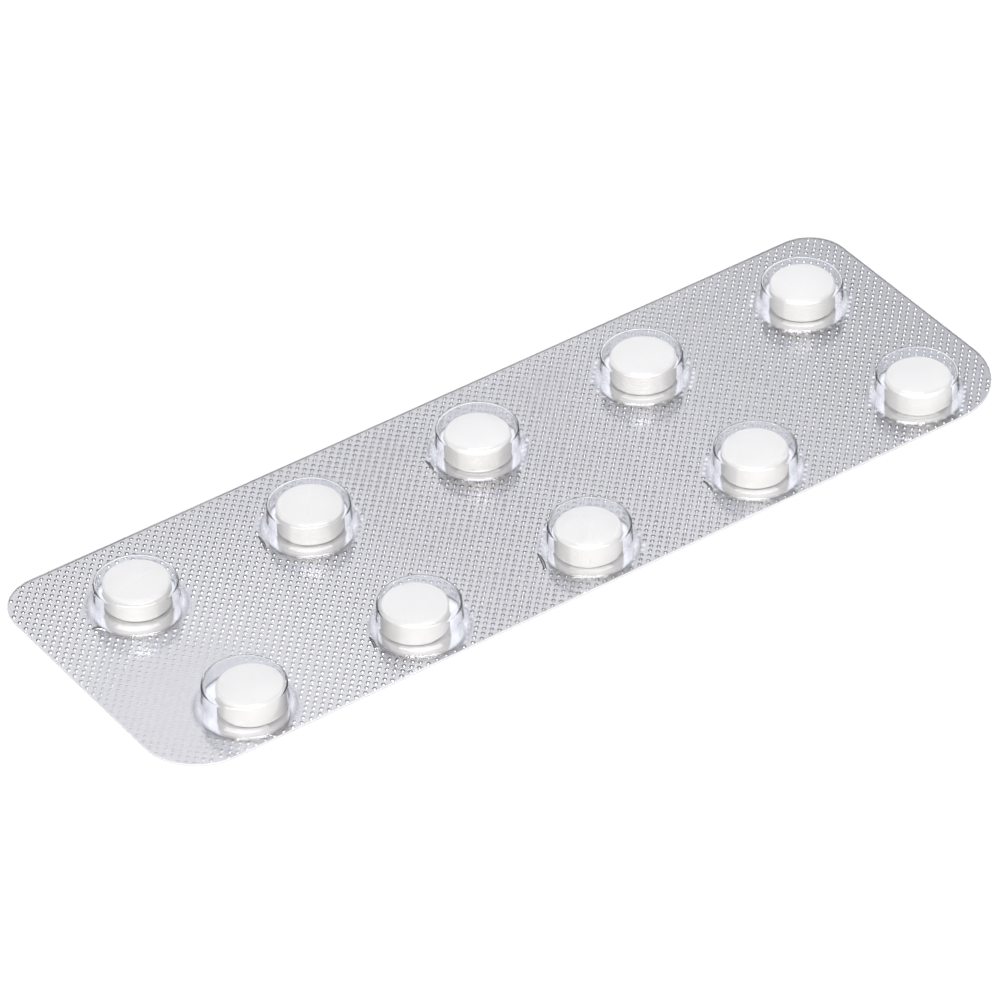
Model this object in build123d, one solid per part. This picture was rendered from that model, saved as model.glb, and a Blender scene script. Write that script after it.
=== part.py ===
from build123d import *
import os
from math import radians, tan

# Push-through blister pack: a clear formed film with two rows of five round
# pockets, a foil lid sealed over its underside, and one tablet lying loose in
# each pocket. The card is flat, with its pockets up. The origin is the middle
# of the lid's underside, +X runs along the card and +Y to its wide margin.
# All sizes are in millimetres.

# Tablet
tablet_diameter = 7.0
tablet_thickness = 2.9  # over both crowned faces, at the middle
tablet_crown = 0.08  # rise of each face from its rim to its middle
tablet_bevel = 0.25  # worn-looking edge between each face and the band
score_width = 0.45
score_depth = 0.16

# Clear film and lidding foil
film_thickness = 0.25
foil_thickness = 0.03

# Pocket
tablet_side_room = 0.65  # between a centred tablet and the pocket's wall
tablet_head_room = 0.36  # between the tablet and the pocket's ceiling
pocket_wall = 0.18  # the film draws thinner than the flat card
wall_draft = 3.0  # degrees from upright
shoulder_radius = 0.5  # outside, between the wall and the top
flare_radius = 1.1  # outside, between the wall and the flat card
flare_land = 0.05  # flat ring just outside the flare

# Pocket grid and the plain margins outside the pockets' flares
pocket_columns = 5
pocket_rows = 2
pocket_pitch_x = 21.0
pocket_pitch_y = 20.0
margin_left = 5.85
margin_right = 3.85
margin_near = 0.3
margin_far = 4.2

# Corner radii of the card; the near right one is cut wider than the others
corner_far_left = 4.8
corner_far_right = 4.4
corner_near_left = 6.5
corner_near_right = 8.4

# How each tablet lies, far row first and from -X to +X: its shift in X and Y
# as a share of the side room, the turn of its score line in degrees, and
# whether the scored face is up. A larger grid takes the list from its start.
tablet_rests = [
    (0.54, 0.69, 7, True),
    (0.30, 0.25, 49, True),
    (-0.45, -0.60, 20, False),
    (0.15, -0.10, 75, False),
    (0.15, 0.10, 130, False),
    (0.77, -0.50, 56, True),
    (-0.50, 0.60, 95, False),
    (-0.40, -0.15, 10, False),
    (0.00, 0.15, 160, False),
    (-0.20, -0.60, 40, False),
]

# The four corners as sides of X and Y, each with its radius
corner_rounds = [
    (-1, 1, corner_far_left),
    (1, 1, corner_far_right),
    (-1, -1, corner_near_left),
    (1, -1, corner_near_right),
]

# Heights above the surface that the card lies on
film_bottom = foil_thickness
film_top = film_bottom + film_thickness
pocket_ceiling = film_bottom + tablet_thickness + tablet_head_room
pocket_top = pocket_ceiling + pocket_wall

# Pocket radii: the wall's two faces run straight from a shoulder corner to a
# base corner, and both corners are then rounded.
draft_slope = tan(radians(wall_draft))
flare_turn = tan(radians(90 - wall_draft) / 2)
tablet_radius = tablet_diameter / 2
ceiling_radius = tablet_radius + tablet_side_room
top_radius = ceiling_radius + pocket_wall
inner_base_radius = ceiling_radius + (pocket_ceiling - film_bottom) * draft_slope
outer_base_radius = top_radius + (pocket_top - film_top) * draft_slope
inner_shoulder_radius = max(shoulder_radius - pocket_wall, pocket_wall / 2)
inner_flare_radius = flare_radius + film_thickness
inner_flare_end = inner_base_radius + inner_flare_radius * flare_turn
outer_flare_end = outer_base_radius + flare_radius * flare_turn
rim_radius = max(inner_flare_end, outer_flare_end) + flare_land

# Card outline, and the pocket grid's middle in it
grid_length = (pocket_columns - 1) * pocket_pitch_x + 2 * rim_radius
grid_width = (pocket_rows - 1) * pocket_pitch_y + 2 * rim_radius
card_length = grid_length + margin_left + margin_right
card_width = grid_width + margin_near + margin_far
grid_x = (margin_left - margin_right) / 2
grid_y = (margin_near - margin_far) / 2


def pocket_centres():
    """Centres of the pockets, far row first and from -X to +X."""
    centres = []
    for row in range(pocket_rows):
        for column in range(pocket_columns):
            x = grid_x + (column - (pocket_columns - 1) / 2) * pocket_pitch_x
            y = grid_y + ((pocket_rows - 1) / 2 - row) * pocket_pitch_y
            centres.append((x, y))
    return centres


def round_corner(outline, side_x, side_y, radius):
    """The outline with its corner on those sides of X and Y rounded."""
    corner = max(outline.vertices(), key=lambda v: v.X * side_x + v.Y * side_y)
    return fillet(corner, radius)


def card_plate(bottom, thickness):
    """A plate of the card's outline, from the height bottom upwards."""
    outline = Rectangle(card_length, card_width)
    for side_x, side_y, radius in corner_rounds:
        outline = round_corner(outline, side_x, side_y, radius)
    return extrude(Pos(0, 0, bottom) * outline, amount=thickness)


def pocket_shell():
    """The drawn wall of one pocket, turned about Z out to its rim."""
    outer = FilletPolyline(
        (rim_radius, 0, film_top),
        (outer_base_radius, 0, film_top),
        (top_radius, 0, pocket_top),
        (0, 0, pocket_top),
        radius=[flare_radius, shoulder_radius],
    )
    inner = FilletPolyline(
        (rim_radius, 0, film_bottom),
        (inner_base_radius, 0, film_bottom),
        (ceiling_radius, 0, pocket_ceiling),
        (0, 0, pocket_ceiling),
        radius=[inner_flare_radius, inner_shoulder_radius],
    )
    rim = Line((rim_radius, 0, film_bottom), (rim_radius, 0, film_top))
    axis = Line((0, 0, pocket_top), (0, 0, pocket_ceiling))
    section = make_face([*outer.edges(), axis, *inner.edges(), rim])
    return revolve(section, axis=Axis.Z)


def form_film():
    """The clear film: a flat card with a shell standing in each hole."""
    plate = card_plate(film_bottom, film_thickness)
    hole = extrude(Pos(0, 0, film_bottom) * Circle(rim_radius), amount=film_thickness)
    shell = pocket_shell()
    film = plate - [Pos(x, y, 0) * hole for x, y in pocket_centres()]
    return film + [Pos(x, y, 0) * shell for x, y in pocket_centres()]


def scored_tablet():
    """A round crowned tablet on its plain face, scored across the top along X."""
    face_radius = tablet_radius - tablet_bevel
    rim_height = tablet_thickness - tablet_crown
    # A crown's arc passes the quarter height of its rise at half its radius.
    arc_rise = tablet_crown / 4
    lower_face = ThreePointArc(
        (0, 0, 0),
        (face_radius / 2, 0, arc_rise),
        (face_radius, 0, tablet_crown),
    )
    band = Polyline(
        (face_radius, 0, tablet_crown),
        (tablet_radius, 0, tablet_crown + tablet_bevel),
        (tablet_radius, 0, rim_height - tablet_bevel),
        (face_radius, 0, rim_height),
    )
    upper_face = ThreePointArc(
        (face_radius, 0, rim_height),
        (face_radius / 2, 0, tablet_thickness - arc_rise),
        (0, 0, tablet_thickness),
    )
    axis = Line((0, 0, tablet_thickness), (0, 0, 0))
    body = revolve(make_face([lower_face, *band.edges(), upper_face, axis]), axis=Axis.Z)
    groove = Polyline(
        (0, -score_width / 2, tablet_thickness),
        (0, 0, tablet_thickness - score_depth),
        (0, score_width / 2, tablet_thickness),
        close=True,
    )
    return body - extrude(make_face(groove.edges()), amount=tablet_diameter, both=True)


def resting_tablet(centre, rest):
    """The tablet as it lies on the foil in the pocket at centre."""
    share_x, share_y, turn, scored_up = rest
    x = centre[0] + share_x * tablet_side_room
    y = centre[1] + share_y * tablet_side_room
    tablet = scored_tablet()
    if not scored_up:
        tablet = Pos(0, 0, tablet_thickness) * Rot(180, 0, 0) * tablet
    return Pos(x, y, foil_thickness) * Rot(0, 0, turn) * tablet


os.makedirs("parts", exist_ok=True)
export_step(form_film(), "parts/form_film.step")
export_step(card_plate(0, foil_thickness), "parts/lidding_foil.step")
for number, centre in enumerate(pocket_centres()):
    rest = tablet_rests[number % len(tablet_rests)]
    export_step(resting_tablet(centre, rest), f"parts/tablet_{number + 1:02d}.step")

print(f"card {card_length:.2f} x {card_width:.2f}, pocket top {pocket_top:.2f}, rim radius {rim_radius:.2f}")
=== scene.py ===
from math import cos, pi, radians, sin, tan

import bmesh
import bpy
from mathutils import Matrix, Vector


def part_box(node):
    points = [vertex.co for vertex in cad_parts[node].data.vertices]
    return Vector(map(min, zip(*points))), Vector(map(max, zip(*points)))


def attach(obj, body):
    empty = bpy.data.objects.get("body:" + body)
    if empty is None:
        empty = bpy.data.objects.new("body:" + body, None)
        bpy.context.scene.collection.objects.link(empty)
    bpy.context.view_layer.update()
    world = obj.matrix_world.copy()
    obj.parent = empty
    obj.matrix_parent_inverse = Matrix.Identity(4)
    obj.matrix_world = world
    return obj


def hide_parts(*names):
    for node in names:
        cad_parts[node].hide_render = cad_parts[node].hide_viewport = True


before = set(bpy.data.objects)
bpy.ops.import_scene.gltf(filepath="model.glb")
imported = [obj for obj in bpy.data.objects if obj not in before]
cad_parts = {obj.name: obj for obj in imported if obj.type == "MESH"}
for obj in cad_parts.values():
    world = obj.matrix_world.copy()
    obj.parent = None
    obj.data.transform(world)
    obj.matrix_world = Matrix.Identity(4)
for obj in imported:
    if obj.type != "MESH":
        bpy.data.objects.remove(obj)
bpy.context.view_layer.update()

mm = 0.001
weld = 0.0005 * mm  # points nearer than this are one
foilLow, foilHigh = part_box("lidding_foil")
filmLow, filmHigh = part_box("form_film")

# The card, as both sheets share it
card = {
    "length": foilHigh.x - foilLow.x,
    "width": foilHigh.y - foilLow.y,
    "corners": [  # side of X, side of Y, radius
        (-1, 1, 4.8 * mm),
        (1, 1, 4.4 * mm),
        (-1, -1, 6.5 * mm),
        (1, -1, 8.4 * mm),
    ],
    "cornerSteps": 14,
    "columns": 5,
    "rows": 2,
    "pitchX": 21.0 * mm,
    "pitchY": 20.0 * mm,
    "gridX": 1.0 * mm,  # middle of the pocket grid
    "gridY": -1.95 * mm,
}


def pocketCentres():
    centres = []
    for row in range(card["rows"]):
        for column in range(card["columns"]):
            x = card["gridX"] + (column - (card["columns"] - 1) / 2) * card["pitchX"]
            y = card["gridY"] + ((card["rows"] - 1) / 2 - row) * card["pitchY"]
            centres.append(Vector((x, y, 0)))
    return centres


def pocketDistance(place):
    return min((place.xy - centre.xy).length for centre in pocketCentres())


def outlineMargin(place):
    # how far a place lies inside the card's outline
    margins = [card["length"] / 2 - abs(place.x), card["width"] / 2 - abs(place.y)]
    for sideX, sideY, radius in card["corners"]:
        away = Vector((
            place.x * sideX - card["length"] / 2 + radius,
            place.y * sideY - card["width"] / 2 + radius,
        ))
        if away.x > 0 and away.y > 0:
            margins.append(radius - away.length)
    return min(margins)


def cardOutline(height):
    # one face of the card's outline at that height
    bm = bmesh.new()
    bmesh.ops.create_grid(bm, x_segments=1, y_segments=1, size=0.5)
    bmesh.ops.scale(bm, vec=(card["length"], card["width"], 1), verts=bm.verts)
    bmesh.ops.translate(bm, vec=(0, 0, height), verts=bm.verts)
    for sideX, sideY, radius in card["corners"]:
        corner = max(bm.verts, key=lambda v: v.co.x * sideX + v.co.y * sideY)
        bmesh.ops.bevel(
            bm,
            geom=[corner],
            offset=radius,
            offset_type="OFFSET",
            segments=card["cornerSteps"],
            profile=0.5,
            affect="VERTICES",
            material=-1,
        )
    return bm


def roundedChain(bm, corners, radii, steps):
    # wire from the first to the last corner, with the ones between rounded
    verts = [bm.verts.new(c) for c in corners]
    for a, b in zip(verts, verts[1:]):
        bm.edges.new((a, b))
    for i, radius in enumerate(radii):
        back = (corners[i] - corners[i + 1]).normalized()
        ahead = (corners[i + 2] - corners[i + 1]).normalized()
        turn = pi - back.angle(ahead)
        if radius:
            bmesh.ops.bevel(
                bm,
                geom=[verts[i + 1]],
                offset=radius * tan(turn / 2),
                offset_type="OFFSET",
                segments=steps,
                profile=0.5,
                affect="VERTICES",
                material=-1,
            )


def spinWire(bm, steps):
    # full turn about Z
    bmesh.ops.spin(
        bm,
        geom=list(bm.verts) + list(bm.edges),
        cent=(0, 0, 0),
        axis=(0, 0, 1),
        dvec=(0, 0, 0),
        angle=2 * pi,
        steps=steps,
        use_merge=True,
        use_duplicate=False,
    )
    bmesh.ops.remove_doubles(bm, verts=bm.verts, dist=weld)


def addCopies(bm, part, places):
    # copies of a finished part at each place
    mesh = bpy.data.meshes.new("copy")
    part.to_mesh(mesh)
    part.free()
    for place in places:
        mesh.transform(Matrix.Translation(place))
        bm.from_mesh(mesh)
        mesh.transform(Matrix.Translation(-place))
    bpy.data.meshes.remove(mesh)


def finishPiece(bm, name, node, materials, sharpAngle):
    # mesh to object, smooth apart from its sharp edges
    mesh = bpy.data.meshes.new(name)
    bm.to_mesh(mesh)
    bm.free()
    for face in mesh.polygons:
        face.use_smooth = True
    mesh.set_sharp_from_angle(angle=radians(sharpAngle))
    piece = bpy.data.objects.new(name, mesh)
    bpy.context.scene.collection.objects.link(piece)
    for material in materials:
        mesh.materials.append(material)
    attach(piece, "root")
    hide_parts(node)
    return piece


def newMaterial(name):
    material = bpy.data.materials.new(name)
    material.use_nodes = True
    nodes = material.node_tree.nodes
    return material, nodes, material.node_tree.links, nodes["Principled BSDF"]


def newGroup(name, inputs, outputs):
    # an empty group with its sockets
    group = bpy.data.node_groups.new(name, "ShaderNodeTree")
    for label, kind in inputs:
        group.interface.new_socket(label, in_out="INPUT", socket_type=kind)
    for label, kind in outputs:
        group.interface.new_socket(label, in_out="OUTPUT", socket_type=kind)
    start = group.nodes.new("NodeGroupInput")
    end = group.nodes.new("NodeGroupOutput")
    return group, group.nodes, group.links, start, end


def useGroup(nodes, group):
    node = nodes.new("ShaderNodeGroup")
    node.node_tree = group
    return node


def reliefGroup():
    # fine uneven relief, as a normal
    group, nodes, links, start, end = newGroup(
        "fineRelief",
        [
            ("Scale", "NodeSocketFloat"),
            ("Detail", "NodeSocketFloat"),
            ("Depth", "NodeSocketFloat"),
            ("Stretch", "NodeSocketVector"),
        ],
        [("Normal", "NodeSocketVector")],
    )
    place = nodes.new("ShaderNodeTexCoord")
    mapping = nodes.new("ShaderNodeMapping")
    pattern = nodes.new("ShaderNodeTexNoise")
    bump = nodes.new("ShaderNodeBump")
    links.new(place.outputs["Object"], mapping.inputs["Vector"])
    links.new(start.outputs["Stretch"], mapping.inputs["Scale"])
    links.new(mapping.outputs["Vector"], pattern.inputs["Vector"])
    links.new(start.outputs["Scale"], pattern.inputs["Scale"])
    links.new(start.outputs["Detail"], pattern.inputs["Detail"])
    links.new(start.outputs["Depth"], bump.inputs["Distance"])
    links.new(pattern.outputs["Fac"], bump.inputs["Height"])
    links.new(bump.outputs["Normal"], end.inputs["Normal"])
    return group


fineRelief = reliefGroup()


def addRelief(nodes, links, look, shader):
    relief = useGroup(nodes, fineRelief)
    relief.inputs["Scale"].default_value = look["scale"]
    relief.inputs["Detail"].default_value = look["detail"]
    relief.inputs["Depth"].default_value = look["depth"]
    relief.inputs["Stretch"].default_value = look["stretch"]
    links.new(relief.outputs["Normal"], shader.inputs["Normal"])


filmLook = {
    "tint": (0.97, 0.975, 0.995, 1),
    "roughness": 0.02,
    "ior": 1.5,
    "ripple": {"scale": 260.0, "detail": 1.0, "depth": 0.012 * mm, "stretch": (1, 1, 1)},
    "lampShare": (0.5, 0.5, 0.5, 1),  # of lamp light that goes straight through
    "edgeTint": (0.6, 0.6, 0.62, 1),
    "edgeRoughness": 0.5,
}


def filmMaterial():
    material, nodes, links, shader = newMaterial("clearFilm")
    shader.inputs["Base Color"].default_value = filmLook["tint"]
    shader.inputs["Roughness"].default_value = filmLook["roughness"]
    shader.inputs["IOR"].default_value = filmLook["ior"]
    shader.inputs["Transmission Weight"].default_value = 1.0
    addRelief(nodes, links, filmLook["ripple"], shader)
    # lamps reach the tablets and the foil straight through the film
    clear = nodes.new("ShaderNodeBsdfTransparent")
    clear.inputs["Color"].default_value = filmLook["lampShare"]
    path = nodes.new("ShaderNodeLightPath")
    mix = nodes.new("ShaderNodeMixShader")
    links.new(path.outputs["Is Shadow Ray"], mix.inputs["Fac"])
    links.new(shader.outputs["BSDF"], mix.inputs[1])
    links.new(clear.outputs["BSDF"], mix.inputs[2])
    links.new(mix.outputs["Shader"], nodes["Material Output"].inputs["Surface"])
    return material


def cutEdgeMaterial():
    # the die leaves the film's cut edge frosted
    material, nodes, links, shader = newMaterial("cutEdge")
    shader.inputs["Base Color"].default_value = filmLook["edgeTint"]
    shader.inputs["Roughness"].default_value = filmLook["edgeRoughness"]
    return material


foilLook = {
    "plain": {  # flat foil under the bonded film, darker towards +X: partly deeper pressing, partly painted shade standing in for the darker light it reflects there
        "softEnd": (0.56, 0.555, 0.56, 1),
        "deepEnd": (0.43, 0.43, 0.44, 1),
        "from": 20.0 * mm,
        "to": 52.0 * mm,
        "roughness": 0.14,
    },
    "dots": {  # the dots, a lighter copy of the foil and lighter still towards +X: partly burnished foil, partly painted highlight
        "softEnd": (0.62, 0.615, 0.62, 1),
        "deepEnd": (0.95, 0.945, 0.95, 1),
        "from": -30.0 * mm,
        "to": 45.0 * mm,
        "roughness": 0.09,
    },
    "open": (0.96, 0.96, 0.975, 1),  # inside a pocket
    "openRadius": 4.6 * mm,
    "openFade": 0.5 * mm,
    "under": (0.80, 0.80, 0.81, 1),
    "underRoughness": 0.3,
    "sway": {"scale": 90.0, "detail": 2.0, "depth": 0.02 * mm, "stretch": (1, 0.5, 1)},
    "dentDepth": 0.05 * mm,
    "dentReach": 0.3 * mm,
}


def mathNode(nodes, links, operation, first, second):
    step = nodes.new("ShaderNodeMath")
    step.operation = operation
    for socket, value in zip(step.inputs, (first, second)):
        if isinstance(value, (int, float)):
            socket.default_value = value
        else:
            links.new(value, socket)
    return step.outputs["Value"]


def vectorNode(nodes, links, operation, values):
    step = nodes.new("ShaderNodeVectorMath")
    step.operation = operation
    for socket, value in zip(step.inputs, values):
        if isinstance(value, tuple):
            socket.default_value = value
        else:
            links.new(value, socket)
    return step


def gridOffset(nodes, links, along, middle, pitch, count):
    # distance along one axis to the nearest pocket's centre
    first = middle - (count - 1) / 2 * pitch
    moved = mathNode(nodes, links, "SUBTRACT", along, first)
    return mathNode(nodes, links, "PINGPONG", moved, pitch / 2)


def pocketGroup():
    # the foil's colour: lighter inside the pockets, and blended along X between two end colours,
    # partly for deeper pressing, partly painted light (painted shade on the plain foil, painted
    # highlight on the dots); and a mask that is 0 inside the pockets
    group, nodes, links, start, end = newGroup(
        "pocketMaskAndPaintedLight",
        [
            ("Soft End", "NodeSocketColor"),
            ("Deep End With Painted Light", "NodeSocketColor"),
            ("From", "NodeSocketFloat"),
            ("To", "NodeSocketFloat"),
        ],
        [("Shade", "NodeSocketColor"), ("Sealed", "NodeSocketFloat")],
    )
    place = nodes.new("ShaderNodeTexCoord")
    split = nodes.new("ShaderNodeSeparateXYZ")
    links.new(place.outputs["Object"], split.inputs["Vector"])
    x = gridOffset(nodes, links, split.outputs["X"], card["gridX"], card["pitchX"], card["columns"])
    y = gridOffset(nodes, links, split.outputs["Y"], card["gridY"], card["pitchY"], card["rows"])
    squareX = mathNode(nodes, links, "MULTIPLY", x, x)
    squareY = mathNode(nodes, links, "MULTIPLY", y, y)
    both = mathNode(nodes, links, "ADD", squareX, squareY)
    near = nodes.new("ShaderNodeMapRange")
    near.inputs["From Min"].default_value = foilLook["openRadius"]
    near.inputs["From Max"].default_value = foilLook["openRadius"] + foilLook["openFade"]
    links.new(mathNode(nodes, links, "SQRT", both, 0), near.inputs["Value"])
    # blend along X between the end colours: partly deeper pressing, partly painted light
    along = nodes.new("ShaderNodeMapRange")
    links.new(split.outputs["X"], along.inputs["Value"])
    links.new(start.outputs["From"], along.inputs["From Min"])
    links.new(start.outputs["To"], along.inputs["From Max"])
    tone = nodes.new("ShaderNodeMix")
    tone.data_type = "RGBA"
    links.new(along.outputs["Result"], tone.inputs["Factor"])
    links.new(start.outputs["Soft End"], tone.inputs["A"])
    links.new(start.outputs["Deep End With Painted Light"], tone.inputs["B"])
    shade = nodes.new("ShaderNodeMix")
    shade.data_type = "RGBA"
    shade.inputs["A"].default_value = foilLook["open"]
    links.new(tone.outputs["Result"], shade.inputs["B"])
    links.new(near.outputs["Result"], shade.inputs["Factor"])
    links.new(shade.outputs["Result"], end.inputs["Shade"])
    links.new(near.outputs["Result"], end.inputs["Sealed"])
    return group


pocketMaskAndPaintedLight = pocketGroup()


def foilMaterial(name, look):
    material, nodes, links, shader = newMaterial(name)
    # the tone along X holds painted light: painted shade on the plain foil, painted highlight on the
    # dots
    shade = useGroup(nodes, pocketMaskAndPaintedLight)
    shade.inputs["Soft End"].default_value = look["softEnd"]
    shade.inputs["Deep End With Painted Light"].default_value = look["deepEnd"]
    shade.inputs["From"].default_value = look["from"]
    shade.inputs["To"].default_value = look["to"]
    links.new(shade.outputs["Shade"], shader.inputs["Base Color"])
    shader.inputs["Metallic"].default_value = 1.0
    shader.inputs["Roughness"].default_value = look["roughness"]
    addRelief(nodes, links, foilLook["sway"], shader)
    return material


def underFoilMaterial():
    # the pressed dots show from below as dents
    material, nodes, links, shader = newMaterial("underFoil")
    shader.inputs["Base Color"].default_value = foilLook["under"]
    shader.inputs["Metallic"].default_value = 1.0
    shader.inputs["Roughness"].default_value = foilLook["underRoughness"]
    place = nodes.new("ShaderNodeTexCoord")
    flat = vectorNode(nodes, links, "MULTIPLY", (place.outputs["Object"], (1.0, 1.0, 0.0)))
    half = (foil["spacingX"] / 2, foil["spacingY"] / 2, 1.0)
    back = tuple(-h for h in half)
    between = (half[0], half[1], 0.0)
    reaches = []
    for start in ((0.0, 0.0, 0.0), between):
        moved = vectorNode(nodes, links, "ADD", (flat.outputs["Vector"], start))
        cell = vectorNode(nodes, links, "WRAP", (moved.outputs["Vector"], half, back))
        reach = vectorNode(nodes, links, "LENGTH", (cell.outputs["Vector"],))
        reaches.append(reach.outputs["Value"])
    nearest = mathNode(nodes, links, "MINIMUM", reaches[0], reaches[1])
    dent = nodes.new("ShaderNodeMapRange")
    dent.interpolation_type = "SMOOTHSTEP"
    dent.inputs["From Max"].default_value = foilLook["dentReach"]
    links.new(nearest, dent.inputs["Value"])
    mask = useGroup(nodes, pocketMaskAndPaintedLight)
    lifted = mathNode(nodes, links, "SUBTRACT", 1.0, mask.outputs["Sealed"])
    height = mathNode(nodes, links, "MAXIMUM", dent.outputs["Result"], lifted)
    bump = nodes.new("ShaderNodeBump")
    bump.inputs["Distance"].default_value = foilLook["dentDepth"]
    links.new(height, bump.inputs["Height"])
    links.new(bump.outputs["Normal"], shader.inputs["Normal"])
    return material


tabletLook = {
    "colour": (0.79, 0.78, 0.76, 1),
    "roughness": 0.65,
    "powder": {"scale": 2600.0, "detail": 3.0, "depth": 0.02 * mm, "stretch": (1, 1, 1)},
}


def tabletMaterial():
    material, nodes, links, shader = newMaterial("pressedTablet")
    shader.inputs["Base Color"].default_value = tabletLook["colour"]
    shader.inputs["Roughness"].default_value = tabletLook["roughness"]
    addRelief(nodes, links, tabletLook["powder"], shader)
    return material


film = {
    "bottom": filmLow.z,
    "top": filmLow.z + 0.25 * mm,
    "pocketTop": filmHigh.z,
    "wall": 0.18 * mm,
    "topRadius": 4.33 * mm,
    "draft": radians(3.0),
    "shoulderRadius": 0.5 * mm,
    "flareRadius": 1.1 * mm,
    "rimRadius": 5.65 * mm,
    "curveSteps": 9,
    "turnSteps": 96,
    "sharpAngle": 40,
}


def pocketSkin(rim, base, top, radii):
    # one face of a pocket's wall, from its flat rim up to the middle of its top
    bm = bmesh.new()
    corners = [
        Vector((film["rimRadius"], 0, rim)),
        Vector((base, 0, rim)),
        Vector((top[0], 0, top[1])),
        Vector((0, 0, top[1])),
    ]
    roundedChain(bm, corners, radii, film["curveSteps"])
    spinWire(bm, film["turnSteps"])
    return bm


def filmFace(height, skin):
    # the card's outline at that height, filled round the pockets' rims
    bm = cardOutline(height)
    bmesh.ops.delete(bm, geom=list(bm.faces), context="FACES_ONLY")
    addCopies(bm, skin, pocketCentres())
    rims = [e for e in bm.edges if e.is_boundary or e.is_wire]
    bmesh.ops.triangle_fill(bm, edges=rims, use_beauty=True, normal=(0, 0, 1))
    return bm


def makeFilm():
    slope = tan(film["draft"])
    ceiling = film["pocketTop"] - film["wall"]
    innerTop = film["topRadius"] - film["wall"]
    outerBase = film["topRadius"] + (film["pocketTop"] - film["top"]) * slope
    innerBase = innerTop + (ceiling - film["bottom"]) * slope
    innerFlare = film["flareRadius"] + film["top"] - film["bottom"]
    innerShoulder = film["shoulderRadius"] - film["wall"]
    outer = pocketSkin(
        film["top"],
        outerBase,
        (film["topRadius"], film["pocketTop"]),
        [film["flareRadius"], film["shoulderRadius"]],
    )
    inner = pocketSkin(
        film["bottom"],
        innerBase,
        (innerTop, ceiling),
        [innerFlare, innerShoulder],
    )
    bm = filmFace(film["top"], outer)
    addCopies(bm, filmFace(film["bottom"], inner), [Vector((0, 0, 0))])
    outlines = [e for e in bm.edges if e.is_boundary]
    edge = bmesh.ops.bridge_loops(bm, edges=outlines)["faces"]
    for face in edge:
        face.material_index = 1
    bmesh.ops.recalc_face_normals(bm, faces=bm.faces)
    materials = [filmMaterial(), cutEdgeMaterial()]
    finishPiece(bm, "clearFilm", "form_film", materials, film["sharpAngle"])


foil = {
    "bottom": foilLow.z,
    "top": foilHigh.z + 0.005 * mm,  # bonded into the film's underside
    "spacingX": 1.085 * mm,  # dots of one row; the next row lies half a space along
    "spacingY": 1.163 * mm,  # two rows on
    "dotRings": [(0.24, 0.0), (0.15, 0.05)],  # radius, height, in mm
    "dotTop": 0.063 * mm,
    "dotSides": 8,
    "plainRadius": 5.45 * mm,  # hardly pressed inside this round each pocket
    "plainShare": 0.09,
    "hiddenRadius": 2.7 * mm,  # always under a tablet
    "edgeMargin": 0.22 * mm,
    "softEnd": Vector((-46.0, -8.0, 0)) * mm,  # pressed less round here
    "softReach": 50.0 * mm,
    "softShare": 0.18,
    "deepEnd": 20.0 * mm,  # pressed deeper from here towards +X
    "deepShare": 0.4,
    "creases": [  # pocket, angle round it, distance, length and width in mm, lean
        (0, 190, 5.2, 1.6, 0.60, 35),
        (1, 174, 5.4, 2.8, 0.34, -10),
        (2, 172, 5.5, 2.4, 0.30, 0),
        (6, 176, 5.4, 2.4, 0.36, -14),
        (7, 172, 5.4, 3.2, 0.42, -12),
        (8, 175, 5.5, 2.6, 0.32, -4),
    ],
    "creaseHeight": 0.14 * mm,
    "creaseBend": 0.8,  # sideways bow, in half widths
    "creaseMerge": 0.0001,
    "dotSink": 0.001 * mm,
    "underLean": 0.5,
    "sharpAngle": 40,
    "dotSharpAngle": 80,
}


def dotShape():
    # one pressed dot, a low dome
    bm = bmesh.new()
    sides = foil["dotSides"]
    foot = foil["dotRings"][0][0] * mm
    bmesh.ops.create_circle(bm, cap_ends=True, radius=foot, segments=sides)
    cap = next(iter(bm.faces))
    for wider, (radius, height) in zip(foil["dotRings"], foil["dotRings"][1:]):
        shrink = (wider[0] - radius) * cos(pi / sides) * mm
        bmesh.ops.inset_region(
            bm, faces=[cap], thickness=shrink, use_even_offset=True, use_boundary=True
        )
        bmesh.ops.translate(bm, vec=(0, 0, (height - wider[1]) * mm), verts=cap.verts)
    middle = bmesh.ops.poke(bm, faces=[cap])["verts"]
    for v in middle:
        v.co.z = foil["dotTop"]
    rim = [e for e in bm.edges if e.is_boundary]
    bmesh.ops.holes_fill(bm, edges=rim, sides=sides)
    bmesh.ops.recalc_face_normals(bm, faces=bm.faces)
    return bm


def dotPlace(place):
    # the pattern's nearest dot
    p = round(place.x / foil["spacingX"] + place.y / foil["spacingY"])
    q = round(place.x / foil["spacingX"] - place.y / foil["spacingY"])
    return Vector(((p + q) / 2 * foil["spacingX"], (p - q) / 2 * foil["spacingY"], 0))


def dotDepth(place):
    # how far a dot is pressed, as a share of its full height
    if outlineMargin(place) < foil["edgeMargin"]:
        return 0
    near = pocketDistance(place)
    if near < foil["hiddenRadius"]:
        return 0
    soft = min((place - foil["softEnd"]).length / foil["softReach"], 1)
    soft = soft * soft * (3 - 2 * soft)  # eased at both ends
    deep = max(place.x - foil["deepEnd"], 0) / (card["length"] / 2 - foil["deepEnd"])
    depth = foil["softShare"] + (1 - foil["softShare"]) * soft + foil["deepShare"] * deep
    if near < foil["plainRadius"]:
        depth *= foil["plainShare"]
    return depth


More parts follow.
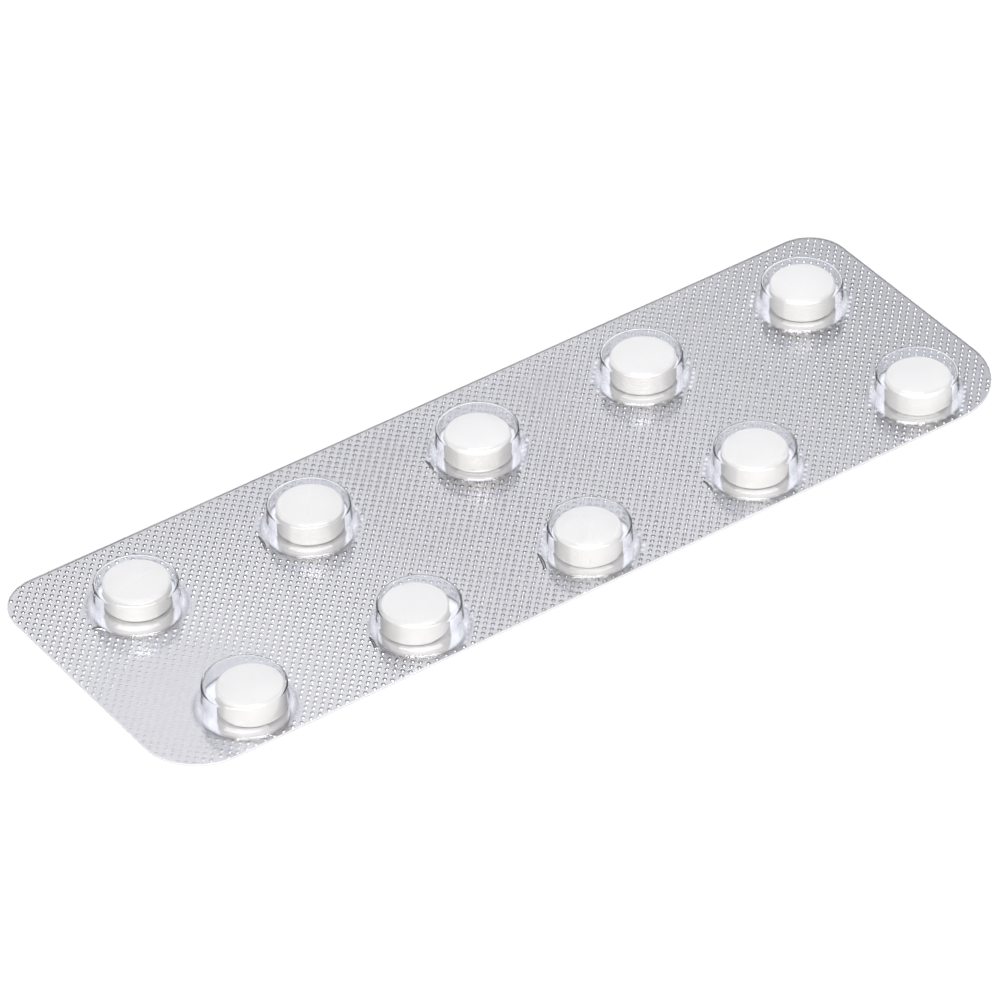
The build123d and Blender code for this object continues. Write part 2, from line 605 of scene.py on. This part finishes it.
def arrayed(bm, steps):
    # the part repeated along each step
    mesh = bpy.data.meshes.new("unit")
    bm.to_mesh(mesh)
    bm.free()
    unit = bpy.data.objects.new("unit", mesh)
    bpy.context.scene.collection.objects.link(unit)
    for step, count in steps:
        array = unit.modifiers.new("array", "ARRAY")
        array.count = count
        array.use_relative_offset = False
        array.use_constant_offset = True
        array.constant_offset_displace = step
    graph = bpy.context.evaluated_depsgraph_get()
    whole = bpy.data.meshes.new_from_object(unit.evaluated_get(graph))
    bm = bmesh.new()
    bm.from_mesh(whole)
    bpy.data.objects.remove(unit)
    bpy.data.meshes.remove(mesh)
    bpy.data.meshes.remove(whole)
    return bm


def makeDots(material):
    half = Vector((foil["spacingX"] / 2, foil["spacingY"] / 2, 0))
    halfAlong = int(card["length"] / foil["spacingX"] / 2) + 1
    halfAcross = int(card["width"] / foil["spacingY"] / 2) + 1
    cell = bmesh.new()
    addCopies(cell, dotShape(), [Vector((0, 0, 0)), half])
    bm = arrayed(cell, [
        ((foil["spacingX"], 0, 0), halfAlong * 2),
        ((0, foil["spacingY"], 0), halfAcross * 2),
    ])
    corner = Vector((-halfAlong * foil["spacingX"], -halfAcross * foil["spacingY"], 0))
    bmesh.ops.translate(bm, vec=corner, verts=bm.verts)
    depths = {}
    spare = []
    for face in bm.faces:
        place = dotPlace(face.calc_center_median())
        key = (place.x, place.y)
        if key not in depths:
            depths[key] = dotDepth(place)
        if depths[key] == 0:
            spare.append(face)
    bmesh.ops.delete(bm, geom=spare, context="FACES")
    for v in bm.verts:
        place = dotPlace(v.co)
        v.co.z = foil["top"] + v.co.z * depths[(place.x, place.y)]
    bmesh.ops.translate(bm, vec=(0, 0, -foil["dotSink"]), verts=bm.verts)
    print("dots", sum(d > 0 for d in depths.values()), "faces", len(bm.faces))
    finishPiece(bm, "foilDots", "lidding_foil", [material], foil["dotSharpAngle"])


def addCreases(bm):
    # short folds in the foil beside some pockets
    centres = pocketCentres()
    for pocket, around, reach, length, width, lean in foil["creases"]:
        ridge = bmesh.new()
        bmesh.ops.create_uvsphere(ridge, u_segments=24, v_segments=12, radius=1)
        bmesh.ops.bisect_plane(
            ridge,
            geom=ridge.verts[:] + ridge.edges[:] + ridge.faces[:],
            dist=foil["creaseMerge"],
            plane_co=(0, 0, 0),
            plane_no=(0, 0, 1),
            clear_inner=True,
        )
        bmesh.ops.holes_fill(ridge, edges=[e for e in ridge.edges if e.is_boundary], sides=0)
        bmesh.ops.recalc_face_normals(ridge, faces=ridge.faces)
        for v in ridge.verts:
            v.co.x -= foil["creaseBend"] * v.co.y * v.co.y
        size = (width / 2 * mm, length / 2 * mm, foil["creaseHeight"])
        bmesh.ops.scale(ridge, vec=size, verts=ridge.verts)
        turn = Matrix.Rotation(radians(around + 180 + lean), 4, "Z")
        away = Matrix.Rotation(radians(around), 4, "Z") @ Vector((reach * mm, 0, foil["top"]))
        place = Matrix.Translation(centres[pocket] + away)
        bmesh.ops.transform(ridge, matrix=place @ turn, verts=ridge.verts)
        addCopies(bm, ridge, [Vector((0, 0, 0))])


def makeFoil():
    materials = [foilMaterial("plainFoil", foilLook["plain"]), underFoilMaterial()]
    bm = cardOutline(foil["bottom"])
    made = bmesh.ops.extrude_face_region(bm, geom=list(bm.faces))["geom"]
    raised = [g for g in made if isinstance(g, bmesh.types.BMVert)]
    bmesh.ops.translate(bm, vec=(0, 0, foil["top"] - foil["bottom"]), verts=raised)
    bmesh.ops.recalc_face_normals(bm, faces=bm.faces)
    for face in bm.faces:
        face.material_index = int(face.normal.z < -foil["underLean"])
    addCreases(bm)
    finishPiece(bm, "liddingFoil", "lidding_foil", materials, foil["sharpAngle"])
    # the dots get a lighter copy of the foil: partly burnished, partly painted highlight
    makeDots(foilMaterial("dotFoil", foilLook["dots"]))


tablet = {
    "crown": 0.08 * mm,
    "bevel": 0.25 * mm,
    "bevelRound": 0.12 * mm,
    "roundSteps": 3,
    "scoreWidth": 0.5 * mm,
    "scoreDepth": 0.06 * mm,
    "scoreCuts": [-1, -0.5, 0, 0.5, 1],  # across half the width
    "cutMerge": 0.0001 * mm,
    "turnSteps": 96,
    "sharpAngle": 60,
    "rests": [  # turn of the score line in degrees, and whether the scored face is up
        (7, True),
        (49, True),
        (20, False),
        (75, False),
        (130, False),
        (56, True),
        (95, False),
        (10, False),
        (160, False),
        (40, False),
    ],
}


def makeTablet(node, turn, scoredUp, material):
    low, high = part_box(node)
    centre = (low + high) / 2
    radius = (high.x - low.x) / 2
    half = (high.z - low.z) / 2
    face = radius - tablet["bevel"]
    rim = half - tablet["crown"]
    side = rim - tablet["bevel"]
    inner = half - tablet["crown"] / 4  # crown's height half way out
    bm = bmesh.new()
    corners = [
        Vector((0, 0, half)),
        Vector((face / 2, 0, inner)),
        Vector((face, 0, rim)),
        Vector((radius, 0, side)),
        Vector((radius, 0, -side)),
        Vector((face, 0, -rim)),
        Vector((face / 2, 0, -inner)),
        Vector((0, 0, -half)),
    ]
    soft = tablet["bevelRound"]
    roundedChain(bm, corners, [0, soft, soft, soft, soft, 0], tablet["roundSteps"])
    spinWire(bm, tablet["turnSteps"])
    for share in tablet["scoreCuts"]:
        bmesh.ops.bisect_plane(
            bm,
            geom=bm.verts[:] + bm.edges[:] + bm.faces[:],
            dist=tablet["cutMerge"],
            plane_co=(0, share * tablet["scoreWidth"] / 2, 0),
            plane_no=(0, 1, 0),
        )
    for v in bm.verts:
        across = abs(v.co.y) / (tablet["scoreWidth"] / 2)
        floor = half - tablet["scoreDepth"] * (1 - across)
        if across < 1 and v.co.z > 0:
            v.co.z = min(v.co.z, floor)
    bmesh.ops.recalc_face_normals(bm, faces=bm.faces)
    place = Matrix.Translation(centre)
    spin = Matrix.Rotation(radians(turn), 4, "Z")
    flip = Matrix.Rotation(0 if scoredUp else pi, 4, "X")
    bmesh.ops.transform(bm, matrix=place @ spin @ flip, verts=bm.verts)
    name = node.replace("tablet_", "tablet")
    finishPiece(bm, name, node, [material], tablet["sharpAngle"])


def makeTablets():
    material = tabletMaterial()
    for i, (turn, scoredUp) in enumerate(tablet["rests"]):
        makeTablet("tablet_%02d" % (i + 1), turn, scoredUp, material)


print("film")
makeFilm()
print("foil")
makeFoil()
print("tablets")
makeTablets()

stage = {
    "floorHalf": 3.0,
    "floorColour": (0.97, 0.97, 0.97, 1),
    "floorRoughness": 0.9,
    "floorSheen": 0.1,
    "skyTint": (0.955, 0.96, 1.0, 1),
    "skyLevels": [  # height of the direction, grey
        (0.0, 1.0),
        (0.2, 1.0),
        (0.45, 1.22),
        (0.70, 1.2),
        (0.9, 0.5),
        (1.0, 0.4),
    ],
    "skyTurn": radians(33.5),  # brings the dark sides to X
    "sideLevels": [  # sideways lean of the direction, share of the grey
        (0.0, 1.0),
        (0.2, 1.0),
        (0.5, 0.1),
        (0.72, 0.1),
        (0.95, 0.7),
    ],
    "belowFrom": -0.1,  # the dark sides end below the horizon
    "lamps": [  # name, place, width, height, watts, colour
        ("overhead", (0.143, 0.217, 0.97), 0.32, 0.32, 3.9, (1, 1, 1)),
        ("front", (-1.1, -1.66, 1.05), 4.8, 2.0, 82.0, (1, 0.975, 0.935)),
    ],
}


def makeFloor():
    bm = bmesh.new()
    bmesh.ops.create_grid(bm, x_segments=1, y_segments=1, size=stage["floorHalf"])
    mesh = bpy.data.meshes.new("floor")
    bm.to_mesh(mesh)
    bm.free()
    floor = bpy.data.objects.new("floor", mesh)
    bpy.context.scene.collection.objects.link(floor)
    material, nodes, links, shader = newMaterial("paleFloor")
    shader.inputs["Base Color"].default_value = stage["floorColour"]
    shader.inputs["Roughness"].default_value = stage["floorRoughness"]
    shader.inputs["Specular IOR Level"].default_value = stage["floorSheen"]
    mesh.materials.append(material)


def makeLamps():
    for name, place, width, height, watts, colour in stage["lamps"]:
        light = bpy.data.lights.new(name, "AREA")
        light.shape = "RECTANGLE"
        light.size = width
        light.size_y = height
        light.energy = watts
        light.color = colour
        lamp = bpy.data.objects.new(name, light)
        bpy.context.scene.collection.objects.link(lamp)
        lamp.location = place
        lamp.rotation_euler = Vector(place).to_track_quat("Z", "Y").to_euler()


def greyRamp(nodes, levels):
    ramp = nodes.new("ShaderNodeValToRGB")
    stops = ramp.color_ramp.elements
    while len(stops) < len(levels):
        stops.new(0.5)
    for stop, (place, grey) in zip(stops, levels):
        stop.position = place
        stop.color = (grey, grey, grey, 1)
    return ramp


def makeSky():
    # soft grey surround, brightest half way up
    world = bpy.data.worlds.new("studio")
    world.use_nodes = True
    nodes = world.node_tree.nodes
    links = world.node_tree.links
    back = nodes["Background"]
    direction = nodes.new("ShaderNodeTexCoord")
    turned = nodes.new("ShaderNodeMapping")
    turned.inputs["Rotation"].default_value[2] = stage["skyTurn"]
    split = nodes.new("ShaderNodeSeparateXYZ")
    links.new(direction.outputs["Generated"], turned.inputs["Vector"])
    links.new(turned.outputs["Vector"], split.inputs["Vector"])
    upward = greyRamp(nodes, stage["skyLevels"])
    links.new(split.outputs["Z"], upward.inputs["Fac"])
    tint = nodes.new("ShaderNodeMix")
    tint.data_type = "RGBA"
    tint.blend_type = "MULTIPLY"
    tint.inputs["Factor"].default_value = 1.0
    tint.inputs["B"].default_value = stage["skyTint"]
    links.new(upward.outputs["Color"], tint.inputs["A"])
    links.new(tint.outputs["Result"], back.inputs["Color"])
    sideways = greyRamp(nodes, stage["sideLevels"])
    links.new(mathNode(nodes, links, "ABSOLUTE", split.outputs["X"], 0), sideways.inputs["Fac"])
    below = nodes.new("ShaderNodeMapRange")
    below.inputs["From Min"].default_value = stage["belowFrom"]
    below.inputs["From Max"].default_value = 0.0
    below.inputs["To Min"].default_value = 1.0
    below.inputs["To Max"].default_value = 0.0
    links.new(split.outputs["Z"], below.inputs["Value"])
    strength = mathNode(nodes, links, "MAXIMUM", sideways.outputs["Color"], below.outputs["Result"])
    links.new(strength, back.inputs["Strength"])
    bpy.context.scene.world = world


camera = {
    "azimuth": radians(-33.50),
    "elevation": radians(38.22),
    "roll": radians(2.31),
    "distance": 706.7 * mm,
    "right": 1.53 * mm,
    "down": -0.71 * mm,
    "lens": 246.9,
    "sensor": 36.0,
    "nearest": 0.05,
}


def makeCamera():
    azimuth = camera["azimuth"]
    elevation = camera["elevation"]
    roll = camera["roll"]
    forward = Vector((-sin(azimuth) * cos(elevation), cos(azimuth) * cos(elevation), -sin(elevation)))
    level = forward.cross(Vector((0, 0, 1))).normalized()
    plumb = forward.cross(level)
    right = cos(roll) * level + sin(roll) * plumb
    down = -sin(roll) * level + cos(roll) * plumb
    place = -(right * camera["right"] + down * camera["down"] + forward * camera["distance"])
    data = bpy.data.cameras.new("camera")
    data.lens = camera["lens"]
    data.sensor_width = camera["sensor"]
    data.clip_start = camera["nearest"]
    view = bpy.data.objects.new("camera", data)
    bpy.context.scene.collection.objects.link(view)
    turn = Matrix((right, -down, -forward)).transposed()
    view.matrix_world = Matrix.Translation(place) @ turn.to_4x4()
    bpy.context.scene.camera = view


print("stage")
makeFloor()
makeSky()
makeLamps()
makeCamera()
bpy.context.scene.view_settings.view_transform = "Standard"
